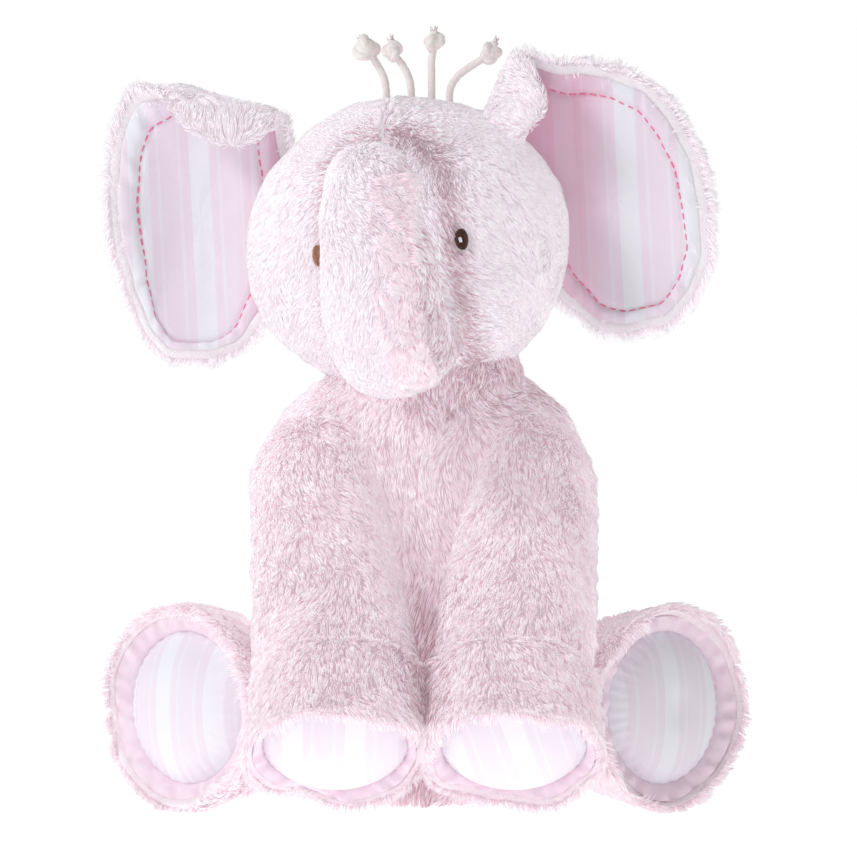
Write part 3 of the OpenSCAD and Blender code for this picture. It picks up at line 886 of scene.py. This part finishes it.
def folded(points, direction, start, radius, most):
    """Rolls forward what lies more than start out along direction, round a roll of that radius."""
    a = math.radians(direction)
    way = np.array([math.cos(a), 0, math.sin(a)])
    over = np.maximum(points @ way - start, 0)
    turn = np.minimum(over / radius, math.radians(most))
    rest = over - turn * radius
    along = radius * np.sin(turn) + rest * np.cos(turn)
    forward = radius * (1 - np.cos(turn)) + rest * np.sin(turn)
    return points + way * (along - over)[:, None] - np.array([0, 1, 0]) * forward[:, None]


def ear_sheet(shape, share, angle):
    """Points of an ear's middle surface at shares of the way out to its edge, before it is thick."""
    grow = 1 + 0.010 * np.sin(9 * angle + 1) + 0.006 * np.sin(17 * angle)
    for where, spread, more in shape["corners"]:
        off = (angle - math.radians(where) + math.pi) % (2 * math.pi) - math.pi
        grow = grow + more * np.exp(-(off / math.radians(spread)) ** 2)
    beside, below, above = shape["seam"]
    upright = np.sin(angle) ** 2
    seam = beside * (1 - upright) + np.where(np.sin(angle) < 0, below, above) * upright
    outer = seam + (share - STITCH_SHARE) / (1 - STITCH_SHARE) * (1 - seam)
    out = np.where(share < STITCH_SHARE, share * seam / STITCH_SHARE, outer) * grow
    cos, sin = (np.sign(v) * np.abs(v) ** 0.92 for v in (np.cos(angle), np.sin(angle)))
    x = shape["middle"][0] + shape["half"][0] * out * cos
    z = shape["middle"][1] + shape["half"][1] * out * sin
    y = shape["cup"] * (1 - share**2) - 4 + 1.2 * share**3 * np.sin(5 * angle)
    return folded(np.stack([x, y, z], axis=-1).reshape(-1, 3), *shape["fold"]).reshape(*x.shape, 3)


def sheet_normals(grid, shares):
    """Unit normals of a grid of rings, looking forward where the sheet is flat."""
    out = np.gradient(grid, shares, axis=0)
    around = np.roll(grid, -1, axis=1) - np.roll(grid, 1, axis=1)
    return unit(np.cross(out, around))


def ear_surface(shape, shares, lift, around=160):
    """Points offset lift(share, angle) from an ear's middle surface, on rings at the given shares."""
    angle = np.linspace(0, 2 * math.pi, around, endpoint=False)
    share, turn = np.meshgrid(shares, angle, indexing="ij")
    grid = ear_sheet(shape, share, turn)
    return grid + sheet_normals(grid, shares) * lift(share, turn)[..., None]


def cotton_lift(share, angle):
    """Height of the cotton over the ear's middle: padded inside the stitching, puckered outside it."""
    seam = np.exp(-((share - STITCH_SHARE) / 0.028) ** 2)
    band = np.clip((share - STITCH_SHARE) / (COTTON_SHARE - STITCH_SHARE), 0, 1)
    puff = 1.3 * np.sin(math.pi * band) * (1 + 0.35 * np.sin(21 * angle) + 0.25 * np.sin(34 * angle + 2))
    crease = 0.5 * np.sin(6 * share + 4 * np.sin(2 * angle)) * (share < STITCH_SHARE)
    return EAR_THICK / 2 * (1 - 0.35 * share**4) + puff + crease * share - 1.1 * seam


def plush_lift(share, angle):
    """Depth of the plush back behind the ear's middle, rounded off at the edge."""
    return -EAR_THICK / 2 * np.sqrt(np.maximum(1 - share**6, 0)) * np.ones_like(angle)


def make_ear(side, skin, pile_materials, cotton, stitch):
    """An ear's plush back and rim, its padded cotton face and its stitching."""
    shape = EAR_SHAPES[side]
    matrix = ear_frame(SIDES[side])
    body = f"ear_{side}"
    attach = bending()

    back_shares = np.concatenate([np.linspace(0.03, 0.9, 22), np.linspace(0.92, 1.0, 8)])
    back = ear_surface(shape, back_shares, plush_lift)
    rim_shares = np.array([0.99, 0.965, 0.93])
    rim = ear_surface(shape, rim_shares, lambda s, a: EAR_THICK / 2 * (1 - s**10) + 0.5)
    inner_shares = np.linspace(0.88, 0.03, 12)
    inner = ear_surface(shape, inner_shares, lambda s, a: EAR_THICK / 2 - 2.5 + 0 * s)
    rings = np.concatenate([back, rim, inner])
    points, faces = loft(rings)
    plush = new_object(f"{body}_plush", into(matrix, points), faces, [skin])
    attach(plush)
    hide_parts(f"{body}_back")

    front = ear_surface(shape, np.linspace(0.02, COTTON_SHARE, 60), cotton_lift, 320)
    under = ear_surface(shape, np.linspace(COTTON_SHARE, 0.02, 20), lambda s, a: 0.6 + 0 * s, 320)
    points, faces = loft(np.concatenate([front, under]))
    face = new_object(f"{body}_cotton", into(matrix, points), faces, [cotton])
    attach(face)
    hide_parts(f"{body}_front")
    make_stitches(shape, matrix, body, stitch, attach)

    tree = KDTree(len(front.reshape(-1, 3)))
    for k, p in enumerate(into(matrix, front.reshape(-1, 3))):
        tree.insert(p, k)
    tree.balance()
    front_world = into(matrix, front)
    edge_middle = front_world[-1].mean(0)

    def off_the_cotton(points, normals):
        return np.array([tree.find(p)[2] > 3.0 for p in points])

    def outwards(points):
        away = unit(points - edge_middle)
        return away * 0.8 + np.array([0, 0, -0.35])

    grow_fur(plush, pile_materials, attach, length=6.5, comb=outwards, keep=off_the_cotton,
             seed=31 + SIDES[side])


def make_stitches(shape, matrix, body, material, attach):
    """Separate running stitches in the seam round an ear's cotton face."""
    steps = 1440
    angle = np.linspace(0, 2 * math.pi, steps, endpoint=False)
    line = ear_surface(shape, np.array([STITCH_SHARE - 0.01, STITCH_SHARE, STITCH_SHARE + 0.01]),
                       lambda s, a: cotton_lift(s, a) + 0.25, steps)[1]
    line = into(matrix, line)
    run = np.concatenate([[0], np.cumsum(np.linalg.norm(np.diff(line, axis=0), axis=1))])
    count = int(run[-1] / STITCH_PITCH)
    threads = []
    for k in range(count):
        a, b = (np.searchsorted(run, (k + t) * run[-1] / count) % steps for t in (0.1, 0.78))
        threads.append(capsule(line[a], line[b], 0.5))
    stitches = new_object(f"{body}_stitches", *merged(threads), [material])
    attach(stitches)
    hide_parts(f"{body}_stitching")


# ---- arms and legs ----

# Rows are (height down the limb, centre x, centre y, half width, half depth). The lip and the sole
# have a radius and a height each. bulge is how far the sole stands out of its seam, and overhang and
# lip_wave are how far the lip's edge hangs over it and wanders.
ARM_SHAPE = dict(
    rows=[(-30, 4, 0, 10, 12), (-26, 5, 0, 18, 20), (-14, 7, 0, 25, 28), (0, 8, 0, 27, 31),
          (30, 6, 0, 29, 31), (60, 3, 0, 31, 30), (85, 0.5, 0, 33, 30), (99, -1, 0, 34, 31),
          (104, -1.5, 0, 36.5, 33),
          (124, -1, 0, 37.5, 35), (136, -1, 0, 38, 36)],
    lip_r=38, mouth=140, sole_r=32.5, sole_at=133.5, bulge=13, overhang=4, lip_wave=3.0,
)
LEG_SHAPE = dict(
    rows=[(-30, 0, 0, 12, 12), (-26, 0, 0, 22, 22), (-12, 0, 0, 31, 31), (10, 0, 0, 33, 33),
          (40, 0, 0, 33, 33), (60, 0, 0, 35, 35), (66, 0, 0, 38.5, 38.5), (80, 0, 0, 41.5, 41.5),
          (89, 0, 0, 43, 43)],
    lip_r=43.5, mouth=93, sole_r=34, sole_at=87, bulge=11, overhang=0, lip_wave=1.4,
)


def lip_wave(angle, seed):
    """How a lip's edge wanders, as a share."""
    return (0.5 * np.sin(3 * angle + seed) + 0.3 * np.sin(5 * angle + 2 * seed)
            + 0.2 * np.sin(8 * angle + seed))


def limb_rings(shape, seed):
    """Rings down a limb, over the lip's edge and back inside to the foot of the lining."""
    rows = through(shape["rows"], 60)
    rings = list(ovals(rows, 96))
    angle = np.linspace(0, 2 * math.pi, 96, endpoint=False)
    over = shape["overhang"] * np.maximum(np.sin(angle), 0) ** 2
    wave = shape["lip_wave"] * lip_wave(angle, seed)
    for r, z in ((0.4, -1.2), (0, 0.4), (-1.6, 0.6), (-3.0, -1.0), (-4.0, -6.0), (-6.0, -12.0)):
        radius = shape["lip_r"] + r + 0.4 * wave
        height = shape["mouth"] + z + (over + wave) * np.clip(1 + z / 12, 0, 1)
        rings.append(np.stack([radius * np.cos(angle), radius * np.sin(angle), height], axis=1))
    floor_r = shape["lip_r"] - 10
    rings.append(np.stack([floor_r * np.cos(angle), floor_r * np.sin(angle),
                           np.full(96, shape["sole_at"] - 6.0)], axis=1))
    return rings


def lining_rings(shape, seed):
    """A pleated band of cotton from the lip's edge in to the sole."""
    angle = np.linspace(0, 2 * math.pi, 240, endpoint=False)
    over = shape["overhang"] * np.maximum(np.sin(angle), 0) ** 2
    wave = shape["lip_wave"] * lip_wave(angle, seed)
    pleat = 0.9 * np.sin(19 * angle + 2 * np.sin(3 * angle)) + 0.5 * np.sin(31 * angle + seed)
    outer, inner = [], []
    for t in np.linspace(0, 1, 16):
        radius = (shape["lip_r"] - 3.2) * (1 - t) + (shape["sole_r"] - 1.5) * t + 0.4 * wave * (1 - t)
        height = (shape["mouth"] - 0.6) * (1 - t) + (shape["sole_at"] - 1) * t + (over + wave) * (1 - t)
        puff = 1.6 * math.sin(math.pi * t) + pleat * math.sin(math.pi * min(1, t * 1.4) ** 0.7)
        for rings, gap in ((outer, 0.0), (inner, 1.2)):
            r = radius - (puff - gap) * 0.5
            z = height + (puff - gap) * 0.85
            rings.append(np.stack([r * np.cos(angle), r * np.sin(angle), z], axis=1))
    return outer, inner


def ring_band(outer, inner):
    """Points and faces of a closed band between two sets of rings."""
    rings = np.asarray(outer + inner[::-1])
    count, around, _ = rings.shape
    faces = [(i * around + j, i * around + (j + 1) % around, (i + 1) % count * around + (j + 1) % around,
              (i + 1) % count * around + j) for i in range(count) for j in range(around)]
    return rings.reshape(-1, 3), faces


def sole_rings(shape):
    """A crowned pad, pulled in and puckered at its seam."""
    angle = np.linspace(0, 2 * math.pi, 192, endpoint=False)
    rings = []
    for share in np.linspace(0.02, 1, 40):
        pucker = 0.5 * share**8 * np.sin(36 * angle + 3 * np.sin(2 * angle))
        crown = shape["bulge"] * (1 - share**2.6) ** 0.8
        height = shape["sole_at"] + crown + pucker
        r = shape["sole_r"] * share
        rings.append(np.stack([r * np.cos(angle), r * np.sin(angle), height], axis=1))
    for share, drop in ((0.98, -2.0), (0.9, -3.5), (0.05, -3.5)):
        r = shape["sole_r"] * share
        rings.append(np.stack([r * np.cos(angle), r * np.sin(angle),
                               np.full(len(angle), shape["sole_at"] + drop)], axis=1))
    return rings


def make_foot(kind, side, shape, home, cotton, lining, seed):
    """The cotton inside a cuff: its pleated lining and its padded sole."""
    body = f"{kind}_{side}"
    matrix = mirrored(SIDES[side]) @ home
    points, faces = ring_band(*lining_rings(shape, seed))
    band = new_object(f"{body}_lining", into(matrix, points), faces, [lining])
    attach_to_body(band, body)
    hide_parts(f"{body}_cuff_lining")

    points, faces = loft(sole_rings(shape))
    sole = new_object(f"{body}_sole_pad", into(matrix, points), faces, [cotton])
    height, reach = points[:, 2] - shape["sole_at"], np.hypot(points[:, 0], points[:, 1])
    settled(sole, (reach > 0.97 * shape["sole_r"]) | (height < -1), CLOTH_PRESSURE)
    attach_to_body(sole, body)
    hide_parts(f"{body}_sole")


def make_limb(kind, side, shape, home, skin, pile_materials, seed):
    """A limb's plush tube with its flared lip."""
    body = f"{kind}_{side}"
    matrix = mirrored(SIDES[side]) @ home
    pivot = matrix[:3, 3]
    down = matrix[:3, 2]
    attach = bending()

    points, faces = loft(limb_rings(shape, seed))
    limb = new_object(f"{body}_plush", into(matrix, points), faces, [skin])
    dented(limb, 30, 0.7, seed)
    attach(limb)
    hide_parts(f"{body}_skin", f"{body}_stuffing", f"{body}_cuff")

    def outside(points, normals):
        local = (points - pivot) @ matrix[:3, :3]
        normal = normals @ matrix[:3, :3]
        radial = (normal[:, :2] * unit(local[:, :2])).sum(1)
        hidden = (points[:, 2] < 2.5) | in_torso(points) | (local[:, 2] < -25)
        return (radial > -0.2) & ~((local[:, 2] > shape["mouth"] - 14) & (radial < 0.1)) & ~hidden

    def down_the_limb(points):
        return np.tile(down * 0.9 + np.array([0, 0, -0.3]), (len(points), 1))

    def painted_shade_inner_arms(points):
        """Painted shade: deep pink on the sides of the arms that face each other."""
        if kind == "leg":
            return np.zeros(len(points))
        return 0.8 * np.exp(-((points[:, 0] / 9) ** 2)) * (points[:, 2] < 112) * (points[:, 2] > 45)

    grow_fur(limb, pile_materials, attach, length=7, comb=down_the_limb, keep=outside,
             seed=40 + seed, painted_shade=painted_shade_inner_arms)


# ---- tail ----

def make_tail(skin, pile_materials):
    """A short plush tail."""
    rows = through([(-8, 0, 0, 4, 4), (-2, 0, 0, 6.5, 6.5), (12, 0, 0, 5.2, 5.2), (30, 0, 0, 4.4, 4.4),
                    (40, 0, 0, 5.5, 5.5), (46, 0, 0, 5.2, 5.2), (49, 0, 0, 2.5, 2.5)], 30)
    points, faces = loft(ovals(rows, 32))
    tail = new_object("tail_plush", into(TAIL, points), faces, [skin])
    root, way = TAIL[:3, 3], TAIL[:3, 2]
    attach = bending()
    attach(tail)
    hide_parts("tail_skin", "tail_stuffing")
    grow_fur(tail, pile_materials, attach, length=5.5, seed=60,
             comb=lambda p: np.tile(way, (len(p), 1)))


# ---- the elephant ----

# Each limb's kind, shape, frame and seed, and how the stripes of its sole are turned
LIMBS = [
    ("arm", ARM_SHAPE, ARM, 3, lambda sign: (0, 9 + 11 * sign, 0)),
    ("leg", LEG_SHAPE, LEG, 7, lambda sign: (0, 0, -43 * sign)),
]

make_camera()
make_hair(rope_yarn())
make_studio()

body_skin = plush_skin("body_ground", BODY_TINTS)
head_skin = plush_skin("head_ground", HEAD_TINTS)
body_pile = pile("body_pile", BODY_TINTS)
head_pile = pile("head_pile", HEAD_TINTS)
lining_cotton = plain_cotton("lining_cotton")
hot_pink = thread("hot_pink_thread", (0.84, 0.17, 0.33), (0.92, 0.32, 0.47))
dark_brown = thread("dark_brown_thread", (0.055, 0.02, 0.014), (0.11, 0.045, 0.03))
mid_brown = thread("mid_brown_thread", (0.30, 0.12, 0.07), (0.42, 0.20, 0.12))
white_thread = thread("white_thread", (0.85, 0.85, 0.85), (0.95, 0.95, 0.95))

for side, sign in SIDES.items():
    for kind, shape, home, seed, stripe_turn in LIMBS:
        cotton = striped_cotton(f"{kind}_{side}_stripes", stripe_turn(sign), SOLE_PINK)
        make_foot(kind, side, shape, home, cotton, lining_cotton, seed + sign)

make_torso(body_skin, body_pile)
make_neck(body_skin, body_pile)
make_head(head_skin, head_pile, body_pile)
make_eye("left", dark_brown)
make_eye("right", mid_brown)
make_highlight(white_thread)
make_tail(body_skin, body_pile)
for side, sign in SIDES.items():
    cotton = striped_cotton(f"ear_{side}_stripes", (0, 3, 0), EAR_PINK, painted_shade=EAR_HOLLOW_SHADE_BAND)
    make_ear(side, head_skin, head_pile, cotton, hot_pink)
    for kind, shape, home, seed, _ in LIMBS:
        make_limb(kind, side, shape, home, body_skin, body_pile, seed + sign)
